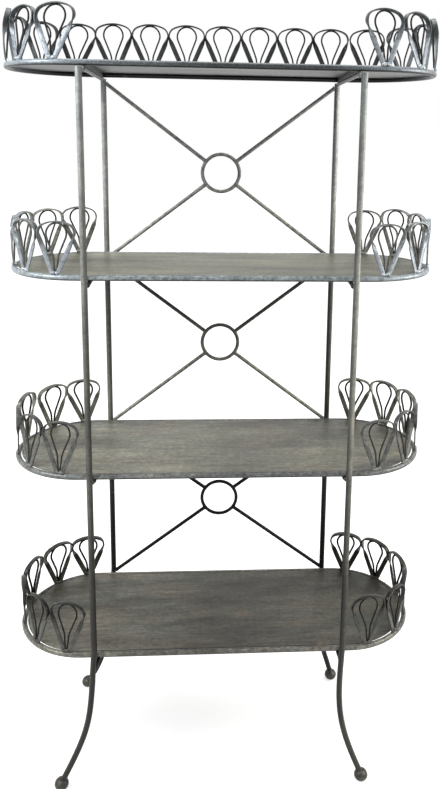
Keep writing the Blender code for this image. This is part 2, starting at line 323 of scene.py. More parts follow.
# What a finish is set by beside its tone, its grain's length and width, its roughness and how metallic
# it is, with the values of plain steel. Levels multiply its colour, and strengths run from 0 to 1.
PLAIN_STEEL = dict(
    shades=((0.0, 1.0), (1.0, 1.0)),  # levels on the way up, each with its share of the rack's height
    across=grey(1.0),    # painted light and shade: levels at the left, in the middle and at the right
    rear=1.0,            # painted shade: level at the back of the top shelf
    far=grey(1.0),       # painted light and shade: tint at the back of the lower shelves
    groove=1.0,          # level of the dark line of painted shade where a pan meets the straight sides of its rim
    under=1.0,           # level of what faces down, as painted shade
    under_from=-0.30,    # upward share of the direction at which facing down and its painted shade start
    edges=1.0,           # level of a sheet's edges, as painted shade
    inner=1.0,           # level of what faces the middle of the rack, as painted shade
    clouds=7.0,          # scale of the mill clouds
    spangle=95.0,        # scale of the pits
    speckle=0.8,         # strength of the pits
    wear=1.0,            # depth of the clouds and the grain
    patches=0.0,         # strength of the patches that turn from blue to tan
    stains=0.5,          # strength of the rust stains
    bloom=0.0,           # strength of the painted pale highlight on the ends of the upper shelves in front
    sheen=0.5)           # strength of the gloss

# Where each part of a finish fades in: the place or direction where it starts, and where it is full
SIDEWAYS_X = (-0.32, 0.32)
REAR_Y = (0.06, 0.15)
REAR_TOP_Z = (1.60, 1.66)
FAR_Y = (-0.06, 0.06)
FAR_LOWER_Z = (1.66, 1.60)
UNDER_FADE = 0.40  # how much further down a surface faces where it is full
GAP_SHADE_Y = (0.1585, 0.1615)
EDGE_FACING = (0.95, 0.85)
INNER_FACING = (0.25, -0.75)
# Where the painted pale highlight on the upper shelves' front ends falls
GLARE_X = (0.20, 0.38)
GLARE_Y = (0.13, -0.02)
GLARE_Z = (1.10, 1.24)
GLARE_FACING = (-0.60, -0.20)
GLARE_PITS = (0.20, 0.58)
GLARE_STOREY = (0.22, 0.13)
FULL_GLARE_X = (0.41, 0.46)
FULL_GLARE_Z = (1.62, 1.50)

# How strongly the grain shows, how the clouds are drawn out, and how far the grain moves the roughness
GRAIN_STRENGTH = 0.9
CLOUD_STRETCH = (0.45, 1.6, 1.0)
ROUGHNESS_SPREAD = (-0.10, 0.12)

# How strong the relief of the pits is, and that of the grain over them
PIT_RELIEF = {"Strength": 0.35, "Distance": 0.0008}
GRAIN_RELIEF = {"Strength": 0.25, "Distance": 0.0003}


class SteelNodes(ShaderNodes):
    """Raw steel under lacquer: mill clouds, drawn grain along the piece, pits, a few rust stains, and
    painted light and shade.
    """

    def __init__(self, tree, look, colours):
        super().__init__(tree)
        self.look = look
        self.colours = colours
        places = self.add("ShaderNodeTexCoord").outputs
        self.here = places["Object"]
        self.x, self.y, self.z = self.add("ShaderNodeSeparateXYZ", {"Vector": self.here}).outputs
        normal = self.add("ShaderNodeNewGeometry").outputs["True Normal"]
        self.facing_x, _, self.facing_z = self.add("ShaderNodeSeparateXYZ", {"Vector": normal}).outputs
        self.pits = self.pattern(self.here, look.spangle, detail=4.0, roughness=0.7)
        length, width = look.grain
        drawn = self.add("ShaderNodeMapping", {
            "Vector": places["UV"], "Scale": (1 / length, 1 / width, 1.0)}).outputs[0]
        self.grain = self.pattern(drawn, 1.0, detail=6.0, roughness=0.7)

    def tone(self):
        """The steel's colour on its way up, darker and warmer towards the feet partly as painted shade, and
        the painted light and shade at each place.
        """
        look, colours = self.look, self.colours
        climb = self.spread(self.z, (cad_low.z, cad_high.z))
        colour = self.ramp(climb, (0.0, colours.foot_colour), (0.28, colours.low_colour),
                           (0.62, colours.middle_colour), (1.0, colours.top_colour))
        colour = self.tint(colour, look.tone)
        colour = self.tint(colour, self.ramp(climb, *((at, grey(level)) for at, level in look.shades)))
        sideways = zip((0.0, 0.5, 1.0), map(grey, look.across))
        colour = self.tint(colour, self.ramp(self.spread(self.x, SIDEWAYS_X), *sideways))
        rear = self.times(self.fade(self.y, REAR_Y), self.fade(self.z, REAR_TOP_Z))
        colour = self.tint(colour, grey(look.rear), rear)
        far = self.times(self.fade(self.y, FAR_Y), self.fade(self.z, FAR_LOWER_Z))
        return self.tint(colour, look.far, far)

    def painted_shade(self, colour):
        """Paints shade on what faces down, on the dark line where a pan meets its rim, on a sheet's edges
        and on what faces the rack's middle.
        """
        look = self.look
        down = self.fade(self.facing_z, (look.under_from, look.under_from - UNDER_FADE))
        colour = self.tint(colour, grey(look.under), down)
        groove = self.fade(self.calculate("ABSOLUTE", self.y), GAP_SHADE_Y)
        colour = self.tint(colour, grey(look.groove), groove)
        edge = self.fade(self.calculate("ABSOLUTE", self.facing_z), EDGE_FACING)
        colour = self.tint(colour, grey(look.edges), edge)
        outward = self.times(self.facing_x, self.calculate("SIGN", self.x))
        return self.tint(colour, grey(look.inner), self.fade(outward, INNER_FACING))

    def weather(self, colour):
        """Lays clouds, pits, grain, patches and stains over a colour."""
        look = self.look
        wear = look.wear
        stretched = self.add("ShaderNodeMapping", {"Vector": self.here, "Scale": CLOUD_STRETCH}).outputs[0]
        cloud = self.pattern(stretched, look.clouds, detail=5.0, roughness=0.6)
        colour = self.tint(colour, self.ramp(
            cloud, (0.32, grey(1 - 0.36 * wear)), (0.50, grey(0.98)),
            (0.70, (1 + 0.32 * wear, 1 + 0.31 * wear, 1 + 0.24 * wear))))
        colour = self.tint(colour, self.ramp(
            self.pits, (0.34, grey(0.50)), (0.52, grey(1.0)), (0.68, grey(1.55))), look.speckle)
        colour = self.tint(colour, self.ramp(
            self.grain, (0.30, grey(1 - 0.34 * wear)), (0.50, grey(1.0)),
            (0.70, grey(1 + 0.36 * wear))), GRAIN_STRENGTH)
        patch = self.pattern(stretched, 11.0, detail=3.0, roughness=0.55)
        colour = self.tint(colour, self.ramp(
            patch, (0.40, (0.88, 0.97, 1.0)), (0.60, (1.0, 0.93, 0.86))), look.patches)
        stain = self.pattern(self.here, 16.0, detail=7.0, roughness=0.62)
        rusted = self.ramp(stain, (0.64, grey(0.0)), (0.76, grey(look.stains)))
        return self.mix("MIX", rusted, colour, self.colours.rust_colour)

    def glare(self, colour):
        """Paints a pale, bluish highlight on the front ends of the upper shelves, mostly low on their loops.
        """
        aside = self.calculate("ABSOLUTE", self.x)
        corner = self.times(self.fade(aside, GLARE_X), self.fade(self.y, GLARE_Y))
        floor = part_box("shelf_3_rim")[0].z
        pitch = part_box("shelf_4_rim")[0].z - floor
        storey = self.calculate(
            "FRACT", self.times(self.calculate("SUBTRACT", self.z, floor), 1 / pitch))
        full = self.times(self.fade(aside, FULL_GLARE_X), self.fade(self.z, FULL_GLARE_Z))
        low = self.calculate("MAXIMUM", self.fade(storey, GLARE_STOREY), full)
        share = self.times(corner, low, self.fade(self.z, GLARE_Z), self.fade(self.pits, GLARE_PITS),
                           self.fade(self.facing_z, GLARE_FACING), self.look.bloom)
        return self.mix("MIX", share, colour, self.colours.glare_colour)

    def relief(self):
        """Pits with drawn grain over them."""
        pits = self.add("ShaderNodeBump", {"Height": self.pits, **PIT_RELIEF}).outputs["Normal"]
        return self.add("ShaderNodeBump", {
            "Height": self.grain, "Normal": pits, **GRAIN_RELIEF}).outputs["Normal"]


def steel(name, **changes):
    """The finish of that name, made once from plain steel with some changes, and shared by like pieces."""
    if name in bpy.data.materials:
        return bpy.data.materials[name]
    material = bpy.data.materials.new(name)
    material.use_nodes = True
    look = SimpleNamespace(**{**PLAIN_STEEL, **changes})
    nodes = SteelNodes(material.node_tree, look, bpy.context.scene.rack_finish)
    shader = material.node_tree.nodes["Principled BSDF"].inputs
    colour = nodes.glare(nodes.weather(nodes.painted_shade(nodes.tone())))
    rough = nodes.spread(nodes.grain, (0.3, 0.7), [look.roughness + change for change in ROUGHNESS_SPREAD])
    for goal, value in (("Base Color", colour), ("Roughness", rough), ("Normal", nodes.relief())):
        material.node_tree.links.new(value, shader[goal])
    shader["Metallic"].default_value = look.metallic
    shader["Specular IOR Level"].default_value = look.sheen
    return material


# How light each upright is on its way up, as the photo shows: the shelves shade the stretches below them.
UPRIGHT_SHADES = {
    "front_left": ((0.05, 0.21), (0.19, 0.18), (0.30, 0.21), (0.38, 0.48), (0.44, 0.60), (0.50, 0.48),
                   (0.60, 0.60), (0.70, 0.90), (0.80, 1.05)),
    "front_right": ((0.05, 0.28), (0.19, 0.27), (0.30, 0.34), (0.40, 0.62), (0.50, 0.98), (0.58, 1.08),
                    (0.66, 1.22), (0.72, 1.00), (0.80, 1.00)),
    "rear_left": ((0.05, 0.12), (0.19, 0.13), (0.30, 0.08), (0.42, 0.06), (0.45, 1.40), (0.52, 0.62),
                  (0.66, 0.27), (0.70, 1.22)),
    "rear_right": ((0.05, 0.06), (0.19, 0.07), (0.30, 0.03), (0.43, 0.03), (0.45, 0.36), (0.60, 0.32),
                   (0.68, 0.28), (0.70, 1.40)),
}

# How the rims differ. Their tones and sideways levels are painted light and shade: the top one is painted
# darkest, and the next one down the bluest. The top one is also the most spangled.
RIM_LOOKS = {
    4: dict(tone=(0.24, 0.255, 0.26), under_from=-0.32, across=(2.6, 0.72, 1.15), inner=0.08, spangle=240.0),
    3: dict(tone=(1.10, 1.23, 1.32), under_from=-0.20, inner=0.6, spangle=120.0),
    2: dict(tone=(0.68, 0.72, 0.76), under_from=-0.05, across=(1.4, 1.0, 1.1), inner=0.6, spangle=120.0),
    1: dict(tone=(1.20, 1.20, 1.19), under_from=0.0, inner=0.6, spangle=120.0),
}

# How the pans differ. The lowest one is greyer and the third one yellower. Their sideways levels are painted
# light, which makes the lowest one lighter at the left, and their levels from shelf to shelf are partly
# painted light and shade.
PAN_LOOKS = {
    4: dict(tone=(0.76, 0.75, 0.70), patches=0.3),
    3: dict(tone=(0.77, 0.73, 0.57), patches=0.3, across=(1.08, 0.96, 0.80)),
    2: dict(tone=(0.96, 0.94, 0.86), patches=0.45, across=(1.40, 0.98, 0.96), groove=0.75, far=grey(0.86)),
    1: dict(tone=(0.69, 0.675, 0.65), patches=0.6, across=(1.85, 0.97, 1.04), groove=0.25, far=grey(0.88)),
}


def rod_steel(place="front_right"):
    return steel(f"drawn steel rod {place}", tone=(1.22, 1.21, 1.14), grain=(0.060, 0.0016), metallic=0.15,
                 roughness=0.42, shades=UPRIGHT_SHADES[place], speckle=0.45, inner=0.30, sheen=0.25)


def ball_steel():
    return steel("forged steel ball", tone=(1.0, 0.98, 0.93), grain=(0.012, 0.012), metallic=0.30,
                 roughness=0.40, clouds=30.0, shades=((0.0, 0.55), (1.0, 0.55)), speckle=1.0, wear=1.5,
                 inner=0.5)


def brace_steel():
    """The rear braces carry painted shade: black below the second shelf, and in shade below the third."""
    return steel("thin steel rod", tone=(1.0, 0.98, 0.92), grain=(0.030, 0.0010), metallic=0.15,
                 roughness=0.42, inner=0.34, sheen=0.20, shades=(
                     (0.15, 0.05), (0.30, 0.015), (0.42, 0.02), (0.45, 1.80), (0.52, 1.20), (0.57, 0.52),
                     (0.62, 0.27), (0.685, 0.21), (0.70, 1.35), (0.80, 1.05), (0.92, 0.95)))


def rim_steel(shelf):
    return steel(f"bent steel rim {shelf}", grain=(0.030, 0.0014), metallic=0.25, roughness=0.34, rear=0.06,
                 bloom=0.45, speckle=1.0, wear=1.5, under=0.10, sheen=0.35, **RIM_LOOKS[shelf])


# Painted light and shade in the strips: the loops of the lower shelves are painted lighter than the top
# shelf's, most of all low on each loop and at the back, and those behind the top shelf darker.
def strip_steel():
    return steel("rolled steel strip", tone=(0.24, 0.25, 0.255), grain=(0.020, 0.0016), metallic=0.25,
                 roughness=0.34, rear=0.45, far=(1.36, 1.30, 1.16), bloom=0.68, speckle=0.85, wear=1.3,
                 sheen=0.35, shades=(
                     (0.20, 2.30), (0.235, 1.0), (0.26, 0.65), (0.44, 3.00), (0.475, 2.3), (0.51, 1.80),
                     (0.69, 3.2), (0.72, 2.7), (0.76, 2.4), (0.93, 1.0)))


# Painted light and shade in the wires: lightest on the third shelf, and darker at the back of the lower
# shelves.
def wire_steel():
    return steel("dark steel wire", tone=(0.09, 0.09, 0.085), grain=(0.020, 0.0016), metallic=0.05,
                 roughness=0.50, far=grey(0.42), sheen=0.12, shades=(
                     (0.20, 1.3), (0.30, 1.3), (0.44, 2.8), (0.52, 2.8), (0.69, 5.2), (0.78, 5.2),
                     (0.90, 1.0)))


def pan_steel(shelf):
    return steel(f"brushed steel sheet {shelf}", grain=(0.090, 0.0050), metallic=0.30, roughness=0.42,
                 stains=0.8, speckle=0.5, wear=1.6, under=0.52, edges=0.12, **PAN_LOOKS[shelf])


# Painted shade in the welds: darker on the lower shelves and at the back of the top shelf.
def weld_steel():
    return steel("steel weld bead", tone=(1.45, 1.47, 1.50), grain=(0.004, 0.004), metallic=0.45,
                 roughness=0.30, clouds=40.0, shades=((0.20, 0.35), (0.44, 0.70), (0.70, 1.0)), stains=0.3,
                 rear=0.3, bloom=0.7)


# Settings that a user would change

def length_setting(name, about, default):
    return FloatProperty(name=name, description=about, default=default, unit="LENGTH")


def angle_setting(name, about, degrees):
    return FloatProperty(name=name, description=about, default=math.radians(degrees), subtype="ANGLE")


def power_setting(name, about, default):
    return FloatProperty(name=name, description=about, default=default, unit="POWER")


def colour_setting(name, about, default):
    return FloatVectorProperty(name=name, description=about, default=default, subtype="COLOR")


class RackSizes(bpy.types.PropertyGroup):
    """Sizes of the rods, strips and loops that the finished rack is drawn with."""

    rod_diameter: length_setting("Rod Diameter", "Uprights and shelf rims", 0.013)
    brace_diameter: length_setting("Brace Diameter", "Rear braces and the cross rods under the pans", 0.0095)
    ring_diameter: length_setting("Ring Diameter", "Outside of a brace ring", 0.1035)
    ring_rod_diameter: length_setting("Ring Rod Diameter", "Rod that a brace ring is bent from", 0.009)
    ball_diameter: length_setting("Ball Diameter", "Ball feet", 0.034)
    strip_width: length_setting("Strip Width", "Strip that the loops are bent from", 0.010)
    strip_thickness: length_setting("Strip Thickness", "Strip that the loops are bent from", 0.003)
    wire_diameter: length_setting("Wire Diameter", "Wire of the teardrops", 0.0036)
    loop_height: length_setting("Loop Height", "Height of a loop above its rim", 0.115)
    crown_radius: length_setting("Crown Radius", "Bend across the top of a loop", 0.075)
    shoulder_radius: length_setting("Shoulder Radius", "Bend at a loop's shoulders", 0.020)
    teardrop_radius: length_setting("Teardrop Radius", "Bend of a teardrop's head", 0.0232)
    teardrop_angle: angle_setting("Teardrop Angle", "Lean of a teardrop's sides", 22)
    loops_per_end: IntProperty(
        name="Loops per End", description="Loops round each end of a shelf", default=6, min=2)
    rear_loops: IntProperty(
        name="Rear Loops", description="Loops along the back of the top shelf", default=7, min=1)
    hand_wobble: angle_setting("Hand Wobble", "Most that a hand-set loop is turned from true", 2.5)
    pan_reach: length_setting("Pan Reach", "How far a pan reaches over the straights of its rim", 0.0014)
    sheet_wave: length_setting("Sheet Wave", "Depth of the waves in a pan", 0.0004)


class RackFinish(bpy.types.PropertyGroup):
    """Colours of the steel, from the feet to the top, darker and warmer towards the feet and bluer at the
    top partly as painted light and shade.
    """

    foot_colour: colour_setting("Foot Colour", "Steel at the floor", (0.105, 0.100, 0.085))
    low_colour: colour_setting("Low Colour", "Steel at the lowest shelf", (0.170, 0.165, 0.145))
    middle_colour: colour_setting("Middle Colour", "Steel at the third shelf", (0.250, 0.250, 0.235))
    top_colour: colour_setting("Top Colour", "Steel at the top", (0.300, 0.325, 0.340))
    rust_colour: colour_setting("Rust Colour", "Small stains", (0.240, 0.165, 0.110))
    # The colour of the painted pale highlight on the upper shelves' front ends
    glare_colour: colour_setting(
        "Glare Colour", "Pale film on the upper shelves' front ends", (0.420, 0.470, 0.520))


class RackStage(bpy.types.PropertyGroup):
    """Camera and light."""

    camera_place: FloatVectorProperty(
        name="Camera Place", description="Where the camera stands", subtype="TRANSLATION", unit="LENGTH",
        default=(-0.0194, -1.7989, 1.5619))
    camera_turn: angle_setting("Camera Turn", "Turn to the right of straight ahead", 3.745)
    camera_tilt: angle_setting("Camera Tilt", "Tilt below level", 10.591)
    camera_roll: angle_setting("Camera Roll", "Turn about the line of sight", 0.927)
    camera_lens: FloatProperty(
        name="Focal Length", description="In millimetres on a 36 mm sensor", default=34.97)
    shift: FloatVectorProperty(
        name="Frame Shift", description="Framing of the picture", size=2, default=(-0.0535, -0.1463))
    key_power: power_setting("Key Power", "Soft light from the left", 45.0)
    top_power: power_setting("Top Power", "Soft light from above", 45.0)
    fill_power: power_setting("Fill Power", "Soft light from the right", 30.0)
    room_light: FloatProperty(
        name="Room Light", description="Level of the light from all round", default=0.22)


# How the hand-bent legs stand in the photo: the height in millimetres at which the bend starts, the lean
# there and at the ball in degrees, how far the ball stands back in millimetres and how full the curve is
LEG_SETS = {
    "front_left": dict(start=373, lean=4.5, splay=26, back=6, full=1.5),
    "front_right": dict(start=373, lean=-3, splay=24, back=0, full=1.36),
    "rear_left": dict(start=370, lean=4, splay=40, back=0, full=0.9),
    "rear_right": dict(start=180, lean=-3, splay=14, back=0, full=1.0),
}
UPRIGHT_WEIGHT = 1.07  # how much heavier the uprights look in the photo
UPRIGHT_CHAMFER = 0.0006

# A ball is hammered, beaten a little flat and sunk a little into the floor. The leg's line ends inside
# it, and a collar of weld goes round the leg. Shares are of the ball's or the rod's diameter.
BALL_HEIGHT = 0.87
BALL_DENT = 0.0002
BALL_DENTS_PER_METRE = 160
BALL_SINK = 0.001
LEG_END_SHARE = 0.3
COLLAR_PLACE_SHARE = 0.36
COLLAR_RADIUS_SHARE = 0.52
COLLAR_BEAD = 0.0012


def leg_curve(name, sizes):
    """An upright's line from its top down to its ball, the ball's centre and the leg's direction there."""
    bend = LEG_SETS[name]
    top = upright_top(name, sizes)
    foot = middle_of(*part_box("foot_" + name))
    ball = Vector((foot.x, foot.y + bend["back"] / 1000, sizes.ball_diameter / 2 - BALL_SINK))
    start = Vector((top.x, top.y, bend["start"] / 1000))
    flat = Vector((ball.x - start.x, ball.y - start.y, 0)).normalized()
    first, last = math.radians(bend["lean"]), math.radians(bend["splay"])
    direction = flat * math.sin(last) - UP * math.cos(last)
    pull = (ball - start).length * bend["full"]
    leaving = (flat * math.sin(first) - UP * math.cos(first)) * pull
    path = straight(top, start, 12)[:-1]
    steps = 40
    for k in range(steps + 1):
        t = k / steps
        point = (start * (2 * t**3 - 3 * t**2 + 1) + leaving * (t**3 - 2 * t**2 + t)
                 + ball * (3 * t**2 - 2 * t**3) + direction * pull * (t**3 - t**2))
        if (point - ball).length > sizes.ball_diameter * LEG_END_SHARE:
            path.append(point)
    return path, ball, direction, flat.cross(UP)


class RACK_OT_uprights(bpy.types.Operator):
    """Draws the four uprights with their bent legs and ball feet"""

    bl_idname = "rack.uprights"
    bl_label = "Uprights and Feet"

    def execute(self, context):
        sizes = context.scene.rack_sizes
        for number, name in enumerate(CORNERS):
            path, ball, direction, normal = leg_curve(name, sizes)
            radius = sizes.rod_diameter / 2 * UPRIGHT_WEIGHT
            add_rod(f"{name}_upright", "upright_" + name, rod_steel(name), path, normal, radius,
                    ROD_SIDES, offset=(number * 2.1, number * 0.3), soften=UPRIGHT_CHAMFER)
            self.make_foot(name, ball, direction, normal, sizes)
        return {"FINISHED"}

    def make_foot(self, name, ball, direction, normal, sizes):
        """A hammered ball, a little flat, with a bead of weld round the leg that it ends."""
        bm = bmesh.new()
        turned = direction.to_track_quat("-Z", "Y").to_matrix().to_4x4()
        bmesh.ops.create_uvsphere(bm, u_segments=40, v_segments=24, radius=sizes.ball_diameter / 2,
                                  matrix=Matrix.Translation(ball) @ turned)
        for vertex in bm.verts:
            dent = noise.noise(vertex.co * BALL_DENTS_PER_METRE) - 1
            vertex.co += vertex.normal * dent * BALL_DENT
            vertex.co.z = max(vertex.co.z * BALL_HEIGHT, 0.0)
        smooth(bm)
        place = ball - direction * sizes.ball_diameter * COLLAR_PLACE_SHARE
        radius = sizes.rod_diameter * COLLAR_RADIUS_SHARE
        collar = arc(place, normal, normal.cross(direction), radius, 0, 2 * math.pi, 24)
        sweep(bm, collar[:-1], direction, round_section(COLLAR_BEAD, 8), closed=True)
        add_piece(f"{name}_foot", bm, ball_steel(), "foot_" + name)


def race_track(radius, ends, height, steps):
    """A shelf's outline at a height: two straight sides and two round ends."""
    points = []
    for side, near, far in ((1, "right", "left"), (-1, "left", "right")):
        centre = Vector((ends[near], 0, height))
        points += arc(centre, RIGHT * side, BACK * side, radius, -math.pi / 2, math.pi / 2, steps)
        points += straight(points[-1], Vector((ends[far], side * radius, height)), 12)[1:-1]
    return points


PAN_WAVES_PER_METRE = (5, 9)


class RACK_OT_shelves(bpy.types.Operator):
    """Draws the round rod rims and the sheet pans inside them"""

    bl_idname = "rack.shelves"
    bl_label = "Rims and Pans"

    def execute(self, context):
        sizes = context.scene.rack_sizes
        for shelf in SHELVES:
            height, end_radius, ends = rim_lines(shelf, sizes)
            path = race_track(end_radius, ends, height, 40)
            add_rod(f"rim_{shelf}", f"shelf_{shelf}_rim", rim_steel(shelf), path, UP,
                    sizes.rod_diameter / 2, ROD_SIDES, closed=True, offset=(shelf * 3.3, shelf * 0.2))
            self.make_pan(shelf, sizes)
        return {"FINISHED"}

    def pan_face(self, bm, shelf, height, radius, ends, sizes):
        """One face of a pan as rows of points, slightly wavy."""
        rows, columns = 28, 72
        along, aside = PAN_WAVES_PER_METRE
        grid = []
        for row in range(rows + 1):
            across = math.sin(math.pi * (row / rows - 0.5))
            y = (radius + sizes.pan_reach) * across
            reach = radius * math.sqrt(max(0.0, 1 - across**2))
            start, stop = ends["left"] - reach, ends["right"] + reach
            line = []
            for column in range(columns + 1):
                x = start + (stop - start) * column / columns
                wave = noise.noise(Vector((x * along, y * aside, shelf * 7.7))) - 0.5
                line.append(bm.verts.new((x, y, height + wave * sizes.sheet_wave)))
            grid.append(line)
        for near, far in zip(grid, grid[1:]):
            for k in range(columns):
                bm.faces.new((near[k], near[k + 1], far[k + 1], far[k]))
        return grid

    def make_pan(self, shelf, sizes):
        """A sheet with a rounded edge, grained along its length."""
        low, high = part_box(f"shelf_{shelf}_pan")
        ends = end_centres(low, high)
        edge = (high.z - low.z) / 2
        bm = bmesh.new()
        grain = bm.loops.layers.uv.verify()
        borders = []
        for height in (high.z, low.z):
            grid = self.pan_face(bm, shelf, height, high.y - edge, ends, sizes)
            border = grid[0][:-1] + [line[-1] for line in grid[:-1]]
            borders.append(border + grid[-1][:0:-1] + [line[0] for line in grid[:0:-1]])
        middle = []
        for upper, lower in zip(*borders):
            nearest = min(max(upper.co.x, ends["left"]), ends["right"])
            outward = Vector((upper.co.x - nearest, upper.co.y, 0)).normalized()
            middle.append(bm.verts.new((upper.co + lower.co) / 2 + outward * edge))
        for ring, other in ((borders[0], middle), (middle, borders[1])):
            for k in range(len(middle)):
                bm.faces.new((ring[k - 1], ring[k], other[k], other[k - 1]))
        smooth(bm)
        for face in bm.faces:
            for corner in face.loops:
                corner[grain].uv = (corner.vert.co.x + shelf * 1.7, corner.vert.co.y + shelf * 0.9)
        add_piece(f"pan_{shelf}", bm, pan_steel(shelf), f"shelf_{shelf}_pan")


# How the cross rods turn down in front of the rim: the share of a quarter turn, and the share of the
# hidden tail that follows it. Those of shelf 2 look cut shorter in the photo.
CROSS_ROD_BEND = 0.0075
CROSS_ROD_ENDS = {1: (1.0, 0.8), 2: (0.55, 0.15), 3: (1.0, 0.8), 4: (1.0, 0.8)}
CROSS_ROD_DRIFT = 0.003  # how far outward the hook goes
CROSS_ROD_TAIL_SLANT = (0.16, 0.10)  # how far outward and back the tail goes, as shares of its length
CROSS_ROD_CHAMFER = 0.0005
BATTEN_THICKNESS = 0.003
BATTEN_CORNER = 0.0005
BATTEN_CHAMFER = 0.0003


class RACK_OT_carriers(bpy.types.Operator):
    """Draws the cross rods under the rims and the battens that the pans rest on"""

    bl_idname = "rack.carriers"
    bl_label = "Cross Rods and Battens"

    def execute(self, context):
        for shelf in SHELVES:
            for name, side in SIDES.items():
                run = self.make_cross_rod(shelf, name, side, context.scene.rack_sizes)
                self.make_batten(shelf, name, side, run)
        return {"FINISHED"}

    def make_cross_rod(self, shelf, name, side, sizes):
        """A rod from the back to the front, where it turns down and outward. Returns how it runs."""
        rod = sizes.brace_diameter / 2
        bend = CROSS_ROD_BEND
        node = f"shelf_{shelf}_cross_rod_{name}"
        low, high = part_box(node)
        outer, inner = (high.x - rod, low.x + rod) if side > 0 else (low.x + rod, high.x - rod)
        rear = Vector((outer, high.y, high.z - rod))
        front = Vector((inner, low.y + rod, high.z - rod))
        forward = (front - rear).normalized()
        path = straight(rear, front - forward * bend, 10)[:-1]
        quarter, tail_share = CROSS_ROD_ENDS[shelf]
        centre = front - forward * bend - UP * bend
        hook = arc(centre, UP, forward, bend, 0, math.pi / 2 * quarter, 8)
        path += [p + RIGHT * side * CROSS_ROD_DRIFT * (k / 8) ** 2 for k, p in enumerate(hook)]
        tail = path[-1].z - low.z
        aside, back = CROSS_ROD_TAIL_SLANT
        path.append(path[-1] + (RIGHT * side * aside + BACK * back - UP * tail_share) * tail)
        # The lower shelves' cross rods take the braces' steel for its painted shade, and the top shelf's
        # take the rods' steel.
        finish = rod_steel() if shelf == TOP_SHELF else brace_steel()
        add_rod(f"cross_rod_{shelf}_{name}", node, finish, path, forward.cross(UP), rod, THIN_ROD_SIDES,
                offset=(shelf + side, 0.1), soften=CROSS_ROD_CHAMFER)
        return front - rear

    def make_batten(self, shelf, name, side, run):
        """A strip on edge along its cross rod."""
        node = f"shelf_{shelf}_batten_{name}"
        low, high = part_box(node)
        centre = middle_of(low, high)
        ends = [Vector((centre.x + run.x / run.y * y, y, centre.z)) for y in (high.y, low.y)]
        bm = bmesh.new()
        section = strip_section(high.z - low.z, BATTEN_THICKNESS, BATTEN_CORNER)
        sweep(bm, ends, UP, section, offset=(shelf - side, 0.4), soften=BATTEN_CHAMFER)
        add_piece(f"batten_{shelf}_{name}", bm, rod_steel(), node)


def brace_lines(bay, sizes):
    """Centre of a bay's ring, and where each of its four rods starts and ends."""
    centre = middle_of(*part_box(f"brace_ring_{bay}"))
    lines = {}
    for level, up in (("lower", -1), ("upper", 1)):
        for name, side in SIDES.items():
            low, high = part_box(f"brace_rod_{bay}_{level}_{name}")
            end_x = high.x if side > 0 else low.x
            reach = high.z - centre.z if up > 0 else centre.z - low.z
            rise = reach
            for _ in range(6):
                rise = reach - sizes.brace_diameter / 2 * math.hypot(1, rise / end_x)
            end = Vector((end_x, centre.y, centre.z + up * rise))
            start = centre + (end - centre).normalized() * sizes.ring_diameter / 2
            lines[level, name] = (start, end)
    return centre, lines


class RACK_OT_braces(bpy.types.Operator):
    """Draws the three rings and the twelve rods of the rear braces"""

    bl_idname = "rack.braces"
    bl_label = "Rear Braces"

    def execute(self, context):
        sizes = context.scene.rack_sizes
        for bay in BAYS:
            centre, lines = brace_lines(bay, sizes)
            radius = (sizes.ring_diameter - sizes.ring_rod_diameter) / 2
            path = arc(centre, RIGHT, UP, radius, 0, 2 * math.pi, 64)[:-1]
            add_rod(f"ring_{bay}", f"brace_ring_{bay}", brace_steel(), path, BACK,
                    sizes.ring_rod_diameter / 2, THIN_ROD_SIDES, closed=True, offset=(bay, 0.5))
            for number, ((level, name), (start, end)) in enumerate(lines.items()):
                place = f"{bay}_{level}_{name}"
                add_rod("brace_" + place, "brace_rod_" + place, brace_steel(), straight(start, end, 8), BACK,
                        sizes.brace_diameter / 2, THIN_ROD_SIDES,
                        offset=(bay + number * 0.7, number * 0.11))
        return {"FINISHED"}


def loop_stands(shelf, sizes):
    """Every gallery run of a shelf: its node, its loops' places and directions, and their half width."""
    height, end_radius, ends = rim_lines(shelf, sizes)
    base = height + sizes.rod_diameter / 2
    half_step = math.pi / sizes.loops_per_end / 2
    half_width = (end_radius - sizes.strip_width / 2) * math.tan(half_step)
    runs = []
    for name, side in SIDES.items():
        centre = Vector((ends[name], 0, base))
        stands = []
        for k in range(sizes.loops_per_end):
            turn = half_step * (2 * k + 1) - math.pi / 2
            outward = Vector((side * math.cos(turn), math.sin(turn), 0))
            stands.append((centre + outward * end_radius, outward))
        runs.append((f"shelf_{shelf}_gallery_{name}", stands, half_width))
    if shelf == TOP_SHELF:
        low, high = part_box("rear_gallery")
        pitch = (high.x - low.x) / sizes.rear_loops
        stands = []
        for k in range(sizes.rear_loops):
            stands.append((Vector((low.x + pitch * (k + 0.5), end_radius, base)), BACK))
        runs.append(("rear_gallery", stands, pitch / 2))
    return runs


